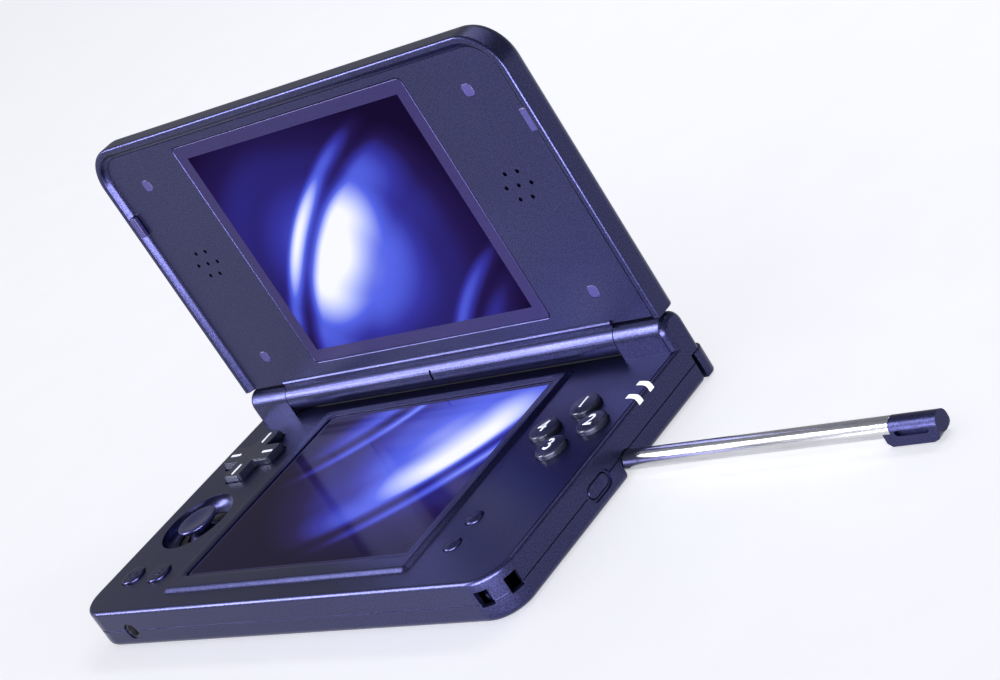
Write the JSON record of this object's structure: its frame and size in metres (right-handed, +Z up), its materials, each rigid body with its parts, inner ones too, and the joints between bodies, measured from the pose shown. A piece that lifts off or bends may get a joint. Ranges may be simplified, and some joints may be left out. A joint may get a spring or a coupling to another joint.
{
  "type": "clamshell handheld game console",
  "caption": "Open clamshell handheld game console with two screens, hinged lid, thumbstick, direction pad, round buttons, shoulder keys and a stylus drawn out of its side slot.",
  "frame": {"origin": "Middle of the flat underside of the base, below the middle of its 160 by 90 mm footprint", "axes": "+X to the player's right along the hinge, +Y from the front edge to the hinge, +Z up out of the top of the base"},
  "size_m": [0.2483, 0.0919, 0.1021],
  "materials": {
    "case": "satin metallic indigo moulding with fine sparkle",
    "keys": "near-black indigo, satin",
    "screen_glass": "polished, lit from behind",
    "dark_metal": "display module with black frame",
    "board": "green solder mask",
    "battery_wrap": "dark wrapped cell",
    "soft_rubber": "silicone contact mat",
    "black_rubber": "foam ring",
    "violet_rubber": "satin lavender rubber",
    "black_plastic": "matt black moulding",
    "light_guide": "translucent white light guide",
    "steel": "plain steel",
    "stylus_silver": "brushed silver tube",
    "ribbon": "amber film ribbon"
  },
  "bodies": {
    "base": {"base_top_shell": "case", "base_bottom_shell": "case", "stylus_channel": "black_plastic", "lower_display": "dark_metal", "touch_panel": "screen_glass", "main_board": "board", "battery": "battery_wrap", "dpad_mat": "soft_rubber", "face_button_mat": "soft_rubber", "start_select_mat": "soft_rubber", "function_mat": "soft_rubber", "thumbstick_module": "steel", "stick_dust_ring": "black_rubber", "headphone_socket": "black_plastic", "charging_socket": "steel", "side_switches": "black_plastic", "indicator_lights": "light_guide", "shoulder_pins": "steel", "volume_pin": "steel", "base_screws": "steel", "board_screws": "steel", "hinge_shaft": "steel", "hinge_sleeve": "steel", "display_ribbon": "ribbon"},
    "lid": {"lid_outer_shell": "case", "lid_inner_panel": "case", "upper_window": "screen_glass", "upper_display": "dark_metal", "left_speaker": "black_plastic", "right_speaker": "black_plastic", "microphone": "steel", "lid_screw_covers": "violet_rubber", "lid_bumpers": "violet_rubber", "lid_screws": "steel", "hinge_clutch": "steel", "lid_ribbon": "ribbon"},
    "rocker_plate": {"dpad_rocker_plate": "black_plastic"},
    "direction_pad": {"direction_pad": "keys"},
    "stick_gimbal": {"thumbstick_gimbal": "steel"},
    "thumbstick": {"thumbstick": "keys"},
    "face_button_1": {"face_button_1": "keys"},
    "face_button_2": {"face_button_2": "keys"},
    "face_button_3": {"face_button_3": "keys"},
    "face_button_4": {"face_button_4": "keys"},
    "start_button": {"start_button": "keys"},
    "select_button": {"select_button": "keys"},
    "function_button_left": {"function_button_left": "keys"},
    "function_button_right": {"function_button_right": "keys"},
    "power_button": {"power_button": "keys"},
    "volume_rocker": {"volume_rocker": "case"},
    "left_shoulder_button": {"left_shoulder_button": "case"},
    "right_shoulder_button": {"right_shoulder_button": "case"},
    "stylus": {"stylus_tube": "stylus_silver", "stylus_tip": "black_plastic", "stylus_head": "case"}
  },
  "joints": [
    {"name": "lid_hinge", "type": "hinge", "parent": "base", "child": "lid", "pos_m": [0, 0.0409, 0.0162], "axis": [-1, 0, 0], "range_deg": [-90, 70]},
    {"name": "pad_tilt_front_back", "type": "hinge", "parent": "base", "child": "rocker_plate", "pos_m": [-0.0634, 0.0177, 0.0086], "axis": [1, 0, 0], "range_deg": [-3.5, 3.5], "stiffness_Nm_per_rad": 0.3},
    {"name": "pad_tilt_left_right", "type": "hinge", "parent": "rocker_plate", "child": "direction_pad", "pos_m": [-0.0634, 0.0177, 0.0086], "axis": [0, 1, 0], "range_deg": [-3.5, 3.5], "stiffness_Nm_per_rad": 0.3},
    {"name": "stick_tilt_front_back", "type": "hinge", "parent": "base", "child": "stick_gimbal", "pos_m": [-0.0634, -0.0085, 0.0041], "axis": [1, 0, 0], "range_deg": [-15, 15], "stiffness_Nm_per_rad": 0.02},
    {"name": "stick_tilt_left_right", "type": "hinge", "parent": "stick_gimbal", "child": "thumbstick", "pos_m": [-0.0634, -0.0085, 0.0041], "axis": [0, 1, 0], "range_deg": [-15, 15], "stiffness_Nm_per_rad": 0.02},
    {"name": "face_button_1_press", "type": "slide", "parent": "base", "child": "face_button_1", "axis": [0, 0, -1], "range_m": [0, 0.0008], "stiffness_N_per_m": 300},
    {"name": "face_button_2_press", "type": "slide", "parent": "base", "child": "face_button_2", "axis": [0, 0, -1], "range_m": [0, 0.0008], "stiffness_N_per_m": 300},
    {"name": "face_button_3_press", "type": "slide", "parent": "base", "child": "face_button_3", "axis": [0, 0, -1], "range_m": [0, 0.0008], "stiffness_N_per_m": 300},
    {"name": "face_button_4_press", "type": "slide", "parent": "base", "child": "face_button_4", "axis": [0, 0, -1], "range_m": [0, 0.0008], "stiffness_N_per_m": 300},
    {"name": "start_button_press", "type": "slide", "parent": "base", "child": "start_button", "axis": [0, 0, -1], "range_m": [0, 0.0008], "stiffness_N_per_m": 300},
    {"name": "select_button_press", "type": "slide", "parent": "base", "child": "select_button", "axis": [0, 0, -1], "range_m": [0, 0.0008], "stiffness_N_per_m": 300},
    {"name": "function_button_left_press", "type": "slide", "parent": "base", "child": "function_button_left", "axis": [0, 0, -1], "range_m": [0, 0.0008], "stiffness_N_per_m": 300},
    {"name": "function_button_right_press", "type": "slide", "parent": "base", "child": "function_button_right", "axis": [0, 0, -1], "range_m": [0, 0.0008], "stiffness_N_per_m": 300},
    {"name": "power_button_press", "type": "slide", "parent": "base", "child": "power_button", "axis": [-1, 0, 0], "range_m": [0, 0.0005], "stiffness_N_per_m": 400},
    {"name": "volume_rocker_tilt", "type": "hinge", "parent": "base", "child": "volume_rocker", "pos_m": [-0.0766, -0.001, 0.0056], "axis": [0, 0, 1], "range_deg": [-2.5, 2.5], "stiffness_Nm_per_rad": 0.2},
    {"name": "left_shoulder_press", "type": "hinge", "parent": "base", "child": "left_shoulder_button", "pos_m": [-0.053, 0.0431, 0.0041], "axis": [0, 0, 1], "range_deg": [0, 2.5], "stiffness_Nm_per_rad": 0.6},
    {"name": "right_shoulder_press", "type": "hinge", "parent": "base", "child": "right_shoulder_button", "pos_m": [0.053, 0.0431, 0.0041], "axis": [0, 0, -1], "range_deg": [0, 2.5], "stiffness_Nm_per_rad": 0.6},
    {"name": "stylus_slide", "type": "slide", "parent": "base", "child": "stylus", "axis": [1, 0, 0], "range_m": [-0.088, 0.012]}
  ]
}
